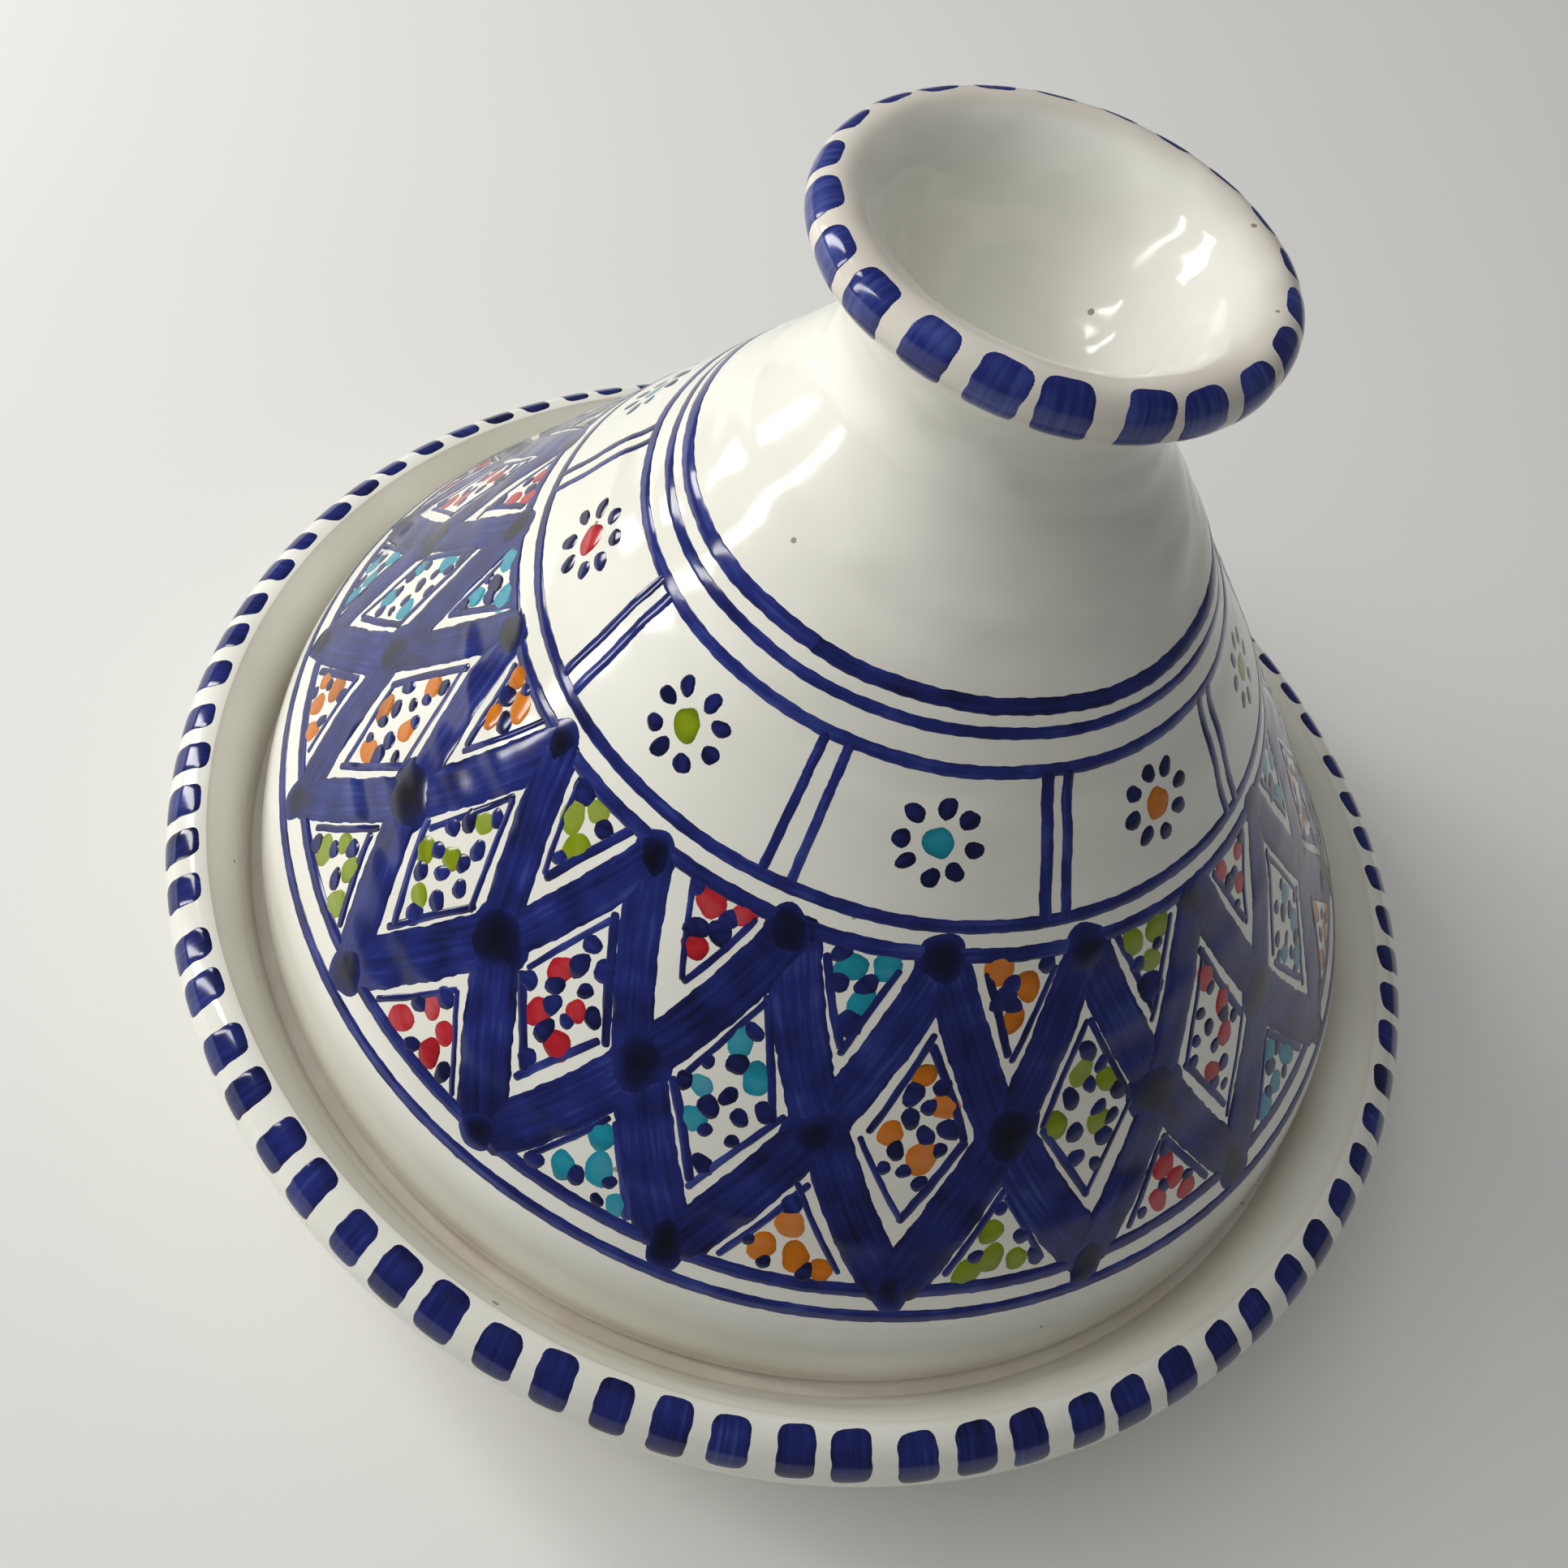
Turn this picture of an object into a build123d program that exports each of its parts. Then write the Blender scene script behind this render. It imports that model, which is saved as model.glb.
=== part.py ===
"""Glazed earthenware tagine: a round dish with a rolled lip, and a tall conical lid with a cup-shaped knob.

Every piece is thrown on a wheel, so each is a closed profile turned about the Z axis.
The origin is the centre of the dish's foot, where it stands on the table. +Z is up. Sizes are in millimetres.
"""

import math
import os

from build123d import *

os.makedirs("parts", exist_ok=True)

# Dish
dish_outer_radius = 140.0  # outside of the rolled lip
dish_height = 50.0  # foot to the top of the lip
lip_roll_radius = 7.8  # the roll's section
lip_inner_angle = 93.0  # where the roll ends on the inside, in degrees round its section from outward
lip_under_angle = -48.0  # where the roll ends underneath
gutter_lean = 8.6  # how far the gutter's side leans in on its way down to the seat
seat_depth = 15.1  # lip top down to the seat that carries the lid
seat_width = 13.0  # flat ledge under the lid's edge
ledge_thickness = 8.5  # clay under the seat
ledge_rise = 2.5  # the ledge's underside climbs this much towards the lip
bowl_wall = 8.0
bowl_floor = 6.5
bowl_floor_radius = 62.0
belly_share = 0.35  # share of the wall's rise, and of its thickness, where the bowl is fullest
foot_radius = 80.0
foot_width = 9.0
foot_height = 4.0
foot_edge_radius = 1.5

# Directions in which the dish's curves set off and arrive, as run and rise
wall_leaves_foot = (1, 0.12)
gutter_leaves_lip = (-1, -1.25)
gutter_meets_seat = (-0.45, -1)
bowl_leaves_seat = (-0.7, -1)
level_inward = (-1, 0)

# Lid
lid_play = 2.0  # radial room between the lid's edge and the gutter's side
seat_gap = 0.1  # the two glaze skins don't fuse
lid_edge_width = 9.0  # flat land that the lid stands on
lid_edge_radius = 2.2
collar_height = 24.8  # steep band at the bottom of the lid
collar_lean = 4.4  # how far the collar draws in over its height
lid_wall = 7.0
neck_height = 135.4  # lid's edge to the joint under the knob
neck_radius = 34.6  # radius at that joint
crown_thickness = 9.0  # clay that closes the cone under the knob
crown_reach = 2.2  # how many crown thicknesses down the crown's dome begins
edge_share = 0.2  # share of the collar's height that stands upright
edge_leans = (0.05, -1)  # direction in which the collar arrives at its upright edge
cavity_leaves_land = (-0.1, 1)  # direction in which the lid's inside sets off from its land

# Knob
knob_lip_radius = 41.0  # outside of the knob's rolled lip
knob_height = 39.7  # joint to the top of the lip
knob_roll_radius = 5.0
knob_roll_inner_angle = 112.0
knob_roll_under_angle = -52.0
waist_height = 13.0  # narrowest place above the joint
waist_radius = 29.3
cup_floor = 9.5  # clay under the cup
cup_mid_height = 18.5  # where the cup's wall turns up from its floor
cup_mid_radius = 19.0
flare_direction = (0.9, 0.55)  # direction in which the knob's flare arrives under the roll
knob_roll_middle_angle = 20.0  # a place on the roll between its two ends

# Derived places in the dish
lip_centre_radius = dish_outer_radius - lip_roll_radius
lip_centre_height = dish_height - lip_roll_radius
seat_height = dish_height - seat_depth


def on_circle(centre_r, centre_z, radius, degrees):
    """Point on a section circle, measured from straight outward."""
    angle = math.radians(degrees)
    return (centre_r + radius * math.cos(angle), centre_z + radius * math.sin(angle))


def along_circle(degrees):
    """Direction of travel round a section circle, anticlockwise."""
    angle = math.radians(degrees)
    return (-math.sin(angle), math.cos(angle))


lip_under = on_circle(lip_centre_radius, lip_centre_height, lip_roll_radius, lip_under_angle)
lip_outside = on_circle(lip_centre_radius, lip_centre_height, lip_roll_radius, 0)
lip_inside = on_circle(lip_centre_radius, lip_centre_height, lip_roll_radius, lip_inner_angle)
seat_outer_radius = lip_inside[0] - gutter_lean
seat_inner_radius = seat_outer_radius - seat_width
ledge_under_height = seat_height - ledge_thickness
foot_inner_radius = foot_radius - foot_width
floor_top = foot_height + bowl_floor
wall_mid_radius = (foot_radius + seat_inner_radius) / 2
wall_mid_height = floor_top + (ledge_under_height - floor_top) * belly_share
bowl_mid_radius = wall_mid_radius - bowl_wall * belly_share
bowl_mid_height = wall_mid_height + bowl_wall

# The dish: foot ring, bowl wall, ledge, rolled lip, gutter, seat and bowl
with BuildPart() as dish:
    with BuildSketch(Plane.XZ):
        with BuildLine():
            Polyline(
                (0, floor_top),
                (0, foot_height),
                (foot_inner_radius, foot_height),
                (foot_inner_radius, 0),
                (foot_radius, 0),
                (foot_radius, foot_height),
            )
            Spline(
                (foot_radius, foot_height),
                (wall_mid_radius, wall_mid_height),
                (seat_inner_radius, ledge_under_height),
                (seat_outer_radius, ledge_under_height + ledge_rise),
                lip_under,
                tangents=(wall_leaves_foot, along_circle(lip_under_angle)),
            )
            ThreePointArc(lip_under, lip_outside, lip_inside)
            Spline(
                lip_inside,
                (seat_outer_radius, seat_height),
                tangents=(gutter_leaves_lip, gutter_meets_seat),
            )
            Line((seat_outer_radius, seat_height), (seat_inner_radius, seat_height))
            Spline(
                (seat_inner_radius, seat_height),
                (bowl_mid_radius, bowl_mid_height),
                (bowl_floor_radius, floor_top),
                tangents=(bowl_leaves_seat, level_inward),
            )
            Line((bowl_floor_radius, floor_top), (0, floor_top))
        make_face()
    revolve(axis=Axis.Z)
    standing_edges = dish.edges().filter_by(GeomType.CIRCLE).group_by(Axis.Z)[0]
    fillet(standing_edges, foot_edge_radius)
dish.part.label = "dish"
export_step(dish.part, "parts/dish.step")

# Derived places in the lid
lid_radius = seat_outer_radius - lid_play
lid_base = seat_height + seat_gap
collar_radius = lid_radius - collar_lean
collar_top = lid_base + collar_height
edge_top = lid_base + collar_height * edge_share
joint_height = lid_base + neck_height
cone_run = collar_radius - neck_radius
cone_rise = neck_height - collar_height
cone_length = math.hypot(cone_run, cone_rise)
cone_direction = (-cone_run / cone_length, cone_rise / cone_length)
wall_in = lid_wall * cone_direction[1]
wall_down = -lid_wall * cone_direction[0]
crown_height = joint_height - crown_thickness
crown_drop = crown_thickness * crown_reach
crown_edge_height = joint_height - crown_drop
crown_edge_radius = neck_radius + (crown_drop - wall_down) * cone_run / cone_rise - wall_in

# The lid's cone: flat edge, steep collar, straight cone, closed at the top by the crown
with BuildPart() as lid_cone:
    with BuildSketch(Plane.XZ):
        with BuildLine():
            Polyline(
                (0, crown_height),
                (0, joint_height),
                (neck_radius, joint_height),
                (collar_radius, collar_top),
            )
            Spline(
                (collar_radius, collar_top),
                (lid_radius, edge_top),
                tangents=((-cone_direction[0], -cone_direction[1]), edge_leans),
            )
            Polyline(
                (lid_radius, edge_top),
                (lid_radius, lid_base),
                (lid_radius - lid_edge_width, lid_base),
            )
            Spline(
                (lid_radius - lid_edge_width, lid_base),
                (collar_radius - wall_in, collar_top - wall_down),
                tangents=(cavity_leaves_land, cone_direction),
            )
            Line((collar_radius - wall_in, collar_top - wall_down), (crown_edge_radius, crown_edge_height))
            Spline(
                (crown_edge_radius, crown_edge_height),
                (0, crown_height),
                tangents=(cone_direction, level_inward),
            )
        make_face()
    revolve(axis=Axis.Z)
    lid_standing_edges = lid_cone.edges().filter_by(GeomType.CIRCLE).group_by(Axis.Z)[0]
    fillet(lid_standing_edges, lid_edge_radius)
lid_cone.part.label = "lid_cone"
export_step(lid_cone.part, "parts/lid_cone.step")

# Derived places in the knob
roll_centre_radius = knob_lip_radius - knob_roll_radius
roll_centre_height = joint_height + knob_height - knob_roll_radius
roll_under = on_circle(roll_centre_radius, roll_centre_height, knob_roll_radius, knob_roll_under_angle)
roll_outside = on_circle(roll_centre_radius, roll_centre_height, knob_roll_radius, knob_roll_middle_angle)
roll_inside = on_circle(roll_centre_radius, roll_centre_height, knob_roll_radius, knob_roll_inner_angle)

# The knob: a flared cup with a rolled lip, luted to the cone's flat top
with BuildPart() as lid_knob:
    with BuildSketch(Plane.XZ):
        with BuildLine():
            Polyline(
                (0, joint_height + cup_floor),
                (0, joint_height),
                (neck_radius, joint_height),
            )
            Spline(
                (neck_radius, joint_height),
                (waist_radius, joint_height + waist_height),
                roll_under,
                tangents=(cone_direction, flare_direction),
            )
            ThreePointArc(roll_under, roll_outside, roll_inside)
            Spline(
                roll_inside,
                (cup_mid_radius, joint_height + cup_mid_height),
                (0, joint_height + cup_floor),
                tangents=(along_circle(knob_roll_inner_angle), level_inward),
            )
        make_face()
    revolve(axis=Axis.Z)
lid_knob.part.label = "lid_knob"
export_step(lid_knob.part, "parts/lid_knob.step")
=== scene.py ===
"""Painted tagine pot: glazed shells on the turned clay, the brushwork laid over them, and a plain stage.

Every shape is worked out on a turned section. A point of the glaze is found from two numbers, the angle
round the axis and the distance along the section, and each brush mark is a thin skin on that surface.
"""

import math

import bpy
import numpy as np
from bpy.props import FloatProperty, FloatVectorProperty, IntProperty, PointerProperty
from bpy.types import Operator, Panel, PropertyGroup
from mathutils import Matrix, Vector


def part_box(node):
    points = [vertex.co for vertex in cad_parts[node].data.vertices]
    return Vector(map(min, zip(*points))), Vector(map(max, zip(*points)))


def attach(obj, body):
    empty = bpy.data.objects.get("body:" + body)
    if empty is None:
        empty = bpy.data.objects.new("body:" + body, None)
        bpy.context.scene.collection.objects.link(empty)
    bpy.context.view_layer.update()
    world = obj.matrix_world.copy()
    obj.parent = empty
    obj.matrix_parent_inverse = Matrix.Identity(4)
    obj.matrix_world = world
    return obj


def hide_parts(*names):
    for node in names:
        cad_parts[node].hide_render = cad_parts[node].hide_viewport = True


bl_info = {
    "name": "Painted tagine pot",
    "version": (1, 0, 0),
    "blender": (4, 5, 0),
    "location": "View3D > Sidebar > Tagine",
    "description": "Glaze and brushwork of a painted tagine pot, built on its turned clay parts",
    "category": "Add Mesh",
}

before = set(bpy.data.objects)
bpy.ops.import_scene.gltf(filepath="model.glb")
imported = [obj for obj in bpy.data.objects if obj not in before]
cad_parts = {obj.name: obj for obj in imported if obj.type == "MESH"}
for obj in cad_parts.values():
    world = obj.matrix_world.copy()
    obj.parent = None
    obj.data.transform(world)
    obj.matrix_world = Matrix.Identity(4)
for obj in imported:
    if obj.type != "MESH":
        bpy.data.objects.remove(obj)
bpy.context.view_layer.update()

MM = 0.001
TURN = 2 * math.pi


# ---------------------------------------------------------------- colour


def paint(code):
    """Turns an sRGB hex colour into linear red, green and blue."""
    share = np.array([int(code[i : i + 2], 16) for i in (1, 3, 5)]) / 255
    return tuple(np.where(share <= 0.04045, share / 12.92, ((share + 0.055) / 1.055) ** 2.4))


def colour(name, about, code):
    """A colour that the user may change."""
    return FloatVectorProperty(
        name=name, description=about, subtype="COLOR", size=3, min=0, max=1, default=paint(code)
    )


def number_of(name, about, number):
    """A number of marks that the user may change."""
    return IntProperty(name=name, description=about, min=2, default=number)


def length(name, about, millimetres):
    """A length that the user may change, kept in metres."""
    return FloatProperty(
        name=name, description=about, unit="LENGTH", min=0, precision=5, default=millimetres * MM
    )


# ---------------------------------------------------------------- sizes and colours


class BrushSizes(PropertyGroup):
    """Sizes and counts of the painter's marks."""

    ring_height: length("Throwing rings", "How far the potter's finger ridges stand out", 0.17)
    lip_strokes: number_of("Dish lip strokes", "Brush strokes round the dish's lip", 78)
    lip_stroke_width: length("Lip stroke width", "Width of one stroke on the dish's lip", 7.6)
    knob_strokes: number_of("Knob lip strokes", "Brush strokes round the knob's lip", 22)
    knob_stroke_width: length("Knob stroke width", "Width of one stroke on the knob's lip", 9.2)
    diamonds: number_of("Diamonds", "Diamonds round the lid's lattice", 18)
    lattice_width: length("Lattice width", "Width of one stroke of the lattice", 9.6)
    outline_width: length("Outline width", "Width of the thin line inside each diamond", 1.7)
    margin: length("White margin", "Bare glaze between the lattice and the thin line", 0.8)
    dark_dot: length("Dark dot", "Width of a dark blue dot", 3.9)
    colour_dot: length("Colour dot", "Width of a coloured dot", 5.8)
    panels: number_of("Panels", "Panels in the flower band", 9)
    divider_width: length("Divider width", "Width of one line between two panels", 2.5)


class GlazeColours(PropertyGroup):
    """Colours of the glaze and of the pigments."""

    white: colour("White", "Thick tin glaze", "#f0efe6")
    white_shade: colour("White, greyer", "Tin glaze where it is a little thinner", "#e5e3d8")
    # Also painted shade: on the dish this pink marks the gutter beside the lid's edge and the crease line.
    blush_and_shade: colour("Blush", "Clay that shows through thin glaze", "#bfa596")
    speck: colour("Speck", "Iron specks in the glaze", "#6d5138")
    clay: colour("Clay", "Bare clay on the foot", "#c58f68")
    blue_thin: colour("Blue, thin", "Cobalt where the brush ran dry", "#46549a")
    blue: colour("Blue", "Cobalt at its usual load", "#212a72")
    blue_thick: colour("Blue, thick", "Cobalt where it pooled", "#0d1138")
    black: colour("Knot", "Cobalt laid three times, nearly black", "#05060f")
    red: colour("Red", "Red enamel", "#b5202b")
    turquoise: colour("Turquoise", "Copper blue enamel", "#1b8ea4")
    green: colour("Green", "Yellow green enamel", "#84950f")
    orange: colour("Orange", "Orange enamel", "#cd7410")


# ---------------------------------------------------------------- turned sections


def section_points(node):
    """Reads the section of a turned node: its mesh's points on the half plane y = 0, x >= 0, walked along
    their shared edges from the lower end to the upper one, and carried straight in to the axis where a flat
    face has no edge there. Returns radius and height columns."""
    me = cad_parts[node].data
    co = np.zeros(len(me.vertices) * 3)
    me.vertices.foreach_get("co", co)
    co = co.reshape(-1, 3)
    ends = np.zeros(len(me.edges) * 2, int)
    me.edges.foreach_get("vertices", ends)
    ends = ends.reshape(-1, 2)
    on_plane = (abs(co[:, 1]) < 1e-7) & (co[:, 0] > -1e-7)
    spots, spot_of = np.unique(np.round(co, 6), axis=0, return_inverse=True)
    pairs = spot_of.ravel()[ends[on_plane[ends].all(1)]]
    links = {}
    for a, b in np.unique(np.sort(pairs[pairs[:, 0] != pairs[:, 1]], axis=1), axis=0).tolist():
        links.setdefault(a, []).append(b)
        links.setdefault(b, []).append(a)
    tips = [a for a, near in links.items() if len(near) == 1]
    if len(tips) != 2:
        raise RuntimeError(f"{node}: the section isn't one open line")
    walk = [min(tips, key=lambda a: spots[a, 2])]
    while len(walk) < len(links):
        walk.append(next(b for b in links[walk[-1]] if len(walk) < 2 or b != walk[-2]))
    line = spots[walk][:, [0, 2]]
    return np.concatenate([line[:1] * [0, 1], line, line[-1:] * [0, 1]])[int(line[0, 0] < 1e-6) :]


def rise(value, start, width):
    """Goes smoothly from 0 at start to 1 at start + width."""
    t = np.clip((value - start) / width, 0, 1)
    return t * t * (3 - 2 * t)


def softened(run, blur, step=0.2 * MM):
    """A run of the section at even steps, each point the mean of its neighbours under a bell curve. Each end
    is carried on by its own half turn, so it stays where it is."""
    gone = np.r_[0, np.cumsum(np.hypot(*np.diff(run, axis=0).T))]
    count = max(4, round(gone[-1] / step))
    even = np.linspace(0, gone[-1], count + 1)
    line = np.stack([np.interp(even, gone, run[:, 0]), np.interp(even, gone, run[:, 1])], 1)
    reach = min(count, round(3 * blur / step))
    bell = np.exp(-0.5 * (np.arange(-reach, reach + 1) * step / blur) ** 2)
    before = 2 * line[0] - line[reach:0:-1]
    after = 2 * line[-1] - line[-2 : -2 - reach : -1]
    long = np.concatenate([before, line, after])
    return np.stack([np.convolve(long[:, i], bell / bell.sum(), "valid") for i in (0, 1)], 1)


class Turned:
    """A section turned round the axis, with finger ridges. A point is found from theta, the angle round
    the axis, and s, the distance along the section from its lower end on the axis."""

    # A turn of the section that counts as a corner, and a metre's weight in the mesh, plain and ridged
    CORNER = math.radians(50)
    PLAIN, RIDGED = 200, 600

    def __init__(self, node, blur, seed):
        points = section_points(node)
        way = np.diff(points, axis=0)
        heading = np.unwrap(np.arctan2(way[:, 1], way[:, 0]))
        corners = np.flatnonzero(abs(np.diff(heading)) > self.CORNER) + 1
        stops = [0, *corners.tolist(), len(points) - 1]
        self.runs = [softened(points[a : b + 1], blur) for a, b in zip(stops, stops[1:])]
        line = np.concatenate(self.runs)
        self.r, self.z = line.T
        self.s = np.r_[0, np.cumsum(np.hypot(np.diff(self.r), np.diff(self.z)))]
        slopes = [np.gradient(run, axis=0) for run in self.runs]
        slopes = np.concatenate([d / np.linalg.norm(d, axis=1)[:, None] for d in slopes])
        self.nr, self.nz = slopes[:, 1], -slopes[:, 0]
        self.total = self.s[-1]
        self.s_out = self.s[self.r.argmax()]
        self.s_top = self.s[self.z.argmax()]
        self.ridges, self.lumps = [], []
        self.calm = lambda s: np.zeros_like(s)
        self.seed = seed

    def ridge(self, height, calm):
        """Adds the finger ridges. calm(s) goes from 0, where the clay stays true, to 1."""
        rng = np.random.default_rng(self.seed)
        self.calm = calm
        for pitch, part in ((5.6, 0.12), (8.5, 0.45), (12.6, 0.75), (19.0, 0.9), (36.0, 1.2)):
            self.ridges.append((height * part, pitch * MM, *rng.uniform(0, TURN, 3)))
        for lobes, pitch, part in ((4, 47, 0.9), (7, 29, 0.7), (11, 17, 0.45), (17, 11, 0.25)):
            self.lumps.append((height * part, pitch * MM, lobes, *rng.uniform(0, TURN, 3)))

    def swell(self, theta, s):
        """Sum of sine ridges along the section, whose phase drifts round the pot once, twice and three
        times, so no ridge is a true circle, and of lumps: a sine round the pot times a sine along the
        section."""
        out = np.zeros(np.broadcast(theta, s).shape)
        for height, pitch, a, b, c in self.ridges:
            drift = 1.3 * np.sin(theta + a) + 0.8 * np.sin(2 * theta + b) + 0.5 * np.sin(3 * theta + c)
            out = out + height * np.sin(TURN * s / pitch + drift) * (0.75 + 0.25 * np.sin(2 * theta + c))
        for height, pitch, lobes, a, b, c in self.lumps:
            lean = a + np.sin(TURN * s / (2.7 * pitch) + c)
            out = out + height * np.sin(lobes * theta + lean) * np.sin(TURN * s / pitch + b)
        return out * self.calm(s)

    def place(self, theta, s, lift=0.0):
        """The point at theta and s, lift above the glaze: along the section, plus swell and lift along its
        normal, turned by theta."""
        up = self.swell(theta, s) + lift
        r = np.interp(s, self.s, self.r) + up * np.interp(s, self.s, self.nr)
        z = np.interp(s, self.s, self.z) + up * np.interp(s, self.s, self.nz)
        r, theta, z = np.broadcast_arrays(r, theta, z)
        return np.stack([r * np.cos(theta), r * np.sin(theta), z], -1)

    def radius(self, s):
        return np.interp(s, self.s, self.r)

    def at_height(self, z):
        """s on the outer wall at height z."""
        outer = (self.s >= self.s_out) & (self.s <= self.s_top)
        return np.interp(z, self.z[outer], self.s[outer])

    def round_lip(self, angle):
        """s on the rolled lip, where the way out of the clay points angle above outward."""
        return self.s_out + (self.s_top - self.s_out) * angle / (math.pi / 2)

    def cuts(self, count, bend_share):
        """Places along the section for the mesh: close where the section bends or has ridges, and one at
        each corner. bend_share weighs a radian of bend against a metre of length."""
        places, weights, spans, first = [], [], [], 0
        for run in self.runs:
            s = self.s[first : first + len(run)]
            first += len(run)
            way = np.diff(run, axis=0)
            bend = np.abs(np.gradient(np.unwrap(np.arctan2(way[:, 1], way[:, 0]))))
            per_metre = self.PLAIN + self.RIDGED * self.calm(s[1:])
            weights.append(np.r_[0, np.cumsum(np.hypot(*way.T) * per_metre + bend * bend_share)])
            spans.append(s)
        whole = sum(w[-1] for w in weights)
        for s, weight in zip(spans, weights):
            steps = max(2, round(count * weight[-1] / whole))
            places.append(np.interp(np.linspace(0, weight[-1], steps + 1), weight, s))
        corners = np.cumsum([len(p) - 1 for p in places])[:-1]
        return np.concatenate([places[0]] + [p[1:] for p in places[1:]]), corners


# ---------------------------------------------------------------- meshes


def build_mesh(name, points, groups, **values):
    """Makes an object. groups is a list of (faces, maps): faces holds one row of corners a face, and maps
    holds each UV map's corners. values are point attributes."""
    me = bpy.data.meshes.new(name)
    sizes = np.concatenate([np.full(len(faces), faces.shape[1]) for faces, _ in groups])
    me.vertices.add(len(points))
    me.vertices.foreach_set("co", points.astype(np.float32).ravel())
    me.loops.add(int(sizes.sum()))
    me.loops.foreach_set("vertex_index", np.concatenate([faces.ravel() for faces, _ in groups]))
    me.polygons.add(len(sizes))
    me.polygons.foreach_set("loop_start", np.r_[0, np.cumsum(sizes)[:-1]])
    me.polygons.foreach_set("use_smooth", np.ones(len(sizes), bool))
    for key in groups[0][1]:
        layer = me.uv_layers.new(name=key)
        flat = np.concatenate([maps[key].reshape(-1, 2) for _, maps in groups])
        layer.uv.foreach_set("vector", flat.astype(np.float32).ravel())
    for key, value in values.items():
        field = me.attributes.new(key, "FLOAT", "POINT")
        field.data.foreach_set("value", value.astype(np.float32).ravel())
    me.update(calc_edges=True)
    ob = bpy.data.objects.new(name, me)
    bpy.context.scene.collection.objects.link(ob)
    return ob


def finish_piece(ob, body, slot, *materials):
    """Gives a piece its materials and the body it rides on. slot is not used."""
    for material in materials:
        ob.data.materials.append(material)
    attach(ob, body)
    return ob


def shell(name, turned, thin, *, sectors, count, bend_share):
    """A closed skin over a turned section: rows of points at the section's cuts, carried round the axis in
    equal sectors, with one point at each end on the axis. thin(s) goes from 0, where the glaze is thick, to
    1; on the dish it also holds painted shade in the gutter beside the lid and on the crease line."""
    cuts, corners = turned.cuts(count, bend_share)
    theta = np.arange(sectors) * TURN / sectors
    rows = cuts[1:-1]
    body = turned.place(theta[None, :], rows[:, None]).reshape(-1, 3)
    poles = turned.place(np.zeros(2), cuts[[0, -1]])
    poles[:, :2] = 0
    points = np.concatenate([body, poles])
    j = np.arange(sectors)
    nxt = (j + 1) % sectors
    i = np.arange(len(rows) - 1)[:, None]
    quads = np.stack([i * sectors + j, i * sectors + nxt, (i + 1) * sectors + nxt, (i + 1) * sectors + j], -1)
    last = (len(rows) - 1) * sectors
    low = np.stack([np.full(sectors, len(body)), nxt, j], -1)
    high = np.stack([last + j, last + nxt, np.full(sectors, len(body) + 1)], -1)
    u0, u1 = j / sectors, (j + 1) / sectors
    v = cuts / turned.total

    def corner_uv(us, vs):
        return np.stack([np.stack(np.broadcast_arrays(u, w), -1) for u, w in zip(us, vs)], -2)

    below, above = v[1:-2, None], v[2:-1, None]
    quad_uv = corner_uv((u0, u1, u1, u0), (below, below, above, above))
    mid = (u0 + u1) / 2
    low_uv = corner_uv((mid, u1, u0), (v[0], v[1], v[1]))
    high_uv = corner_uv((u0, u1, mid), (v[-2], v[-2], v[-1]))
    groups = [
        (quads.reshape(-1, 4), {"OFBake": quad_uv.reshape(-1, 4, 2)}),
        (low, {"OFBake": low_uv}),
        (high, {"OFBake": high_uv}),
    ]
    thin_glaze_and_shade = np.r_[np.repeat(thin(rows), sectors), thin(cuts[[0, -1]])]
    ob = build_mesh(name, points, groups, thin=thin_glaze_and_shade)
    me = ob.data
    ends = np.zeros(len(me.edges) * 2, int)
    me.edges.foreach_get("vertices", ends)
    ring = ends.reshape(-1, 2) // sectors
    sharp = np.isin(ring[:, 0], corners - 1) & (ring[:, 0] == ring[:, 1])
    me.attributes.new("sharp_edge", "BOOLEAN", "EDGE").data.foreach_set("value", sharp)
    return ob


def read_along(values, share):
    """Reads each row of values at the given shares of its length."""
    spot = share * (values.shape[1] - 1)
    low = np.minimum(spot.astype(int), values.shape[1] - 2)
    part = spot - low
    rows = np.arange(len(values))[:, None]
    return values[rows, low] * (1 - part) + values[rows, low + 1] * part


def waver(rng, count, distance, pitches):
    """Smooth unevenness between about -1 and 1 along a distance: a sum of sines with random phases."""
    out = 0
    for pitch in pitches:
        out = out + np.sin(TURN * distance / (pitch * MM) + rng.uniform(0, TURN, (count, 1)))
    return out / len(pitches)


# How far under the glaze a mark's edges lie, and its flat underside
SINK = 0.05 * MM
DEEP = 0.14 * MM

# The shortest part of a stroke's width that its tips keep, and the pitches of its ragged sides and its load
TIP_SHARE = 0.08
RAGGED_PITCHES = (3.1, 5.3, 11.0)
LOAD_PITCHES = (9.0, 23.0)


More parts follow.
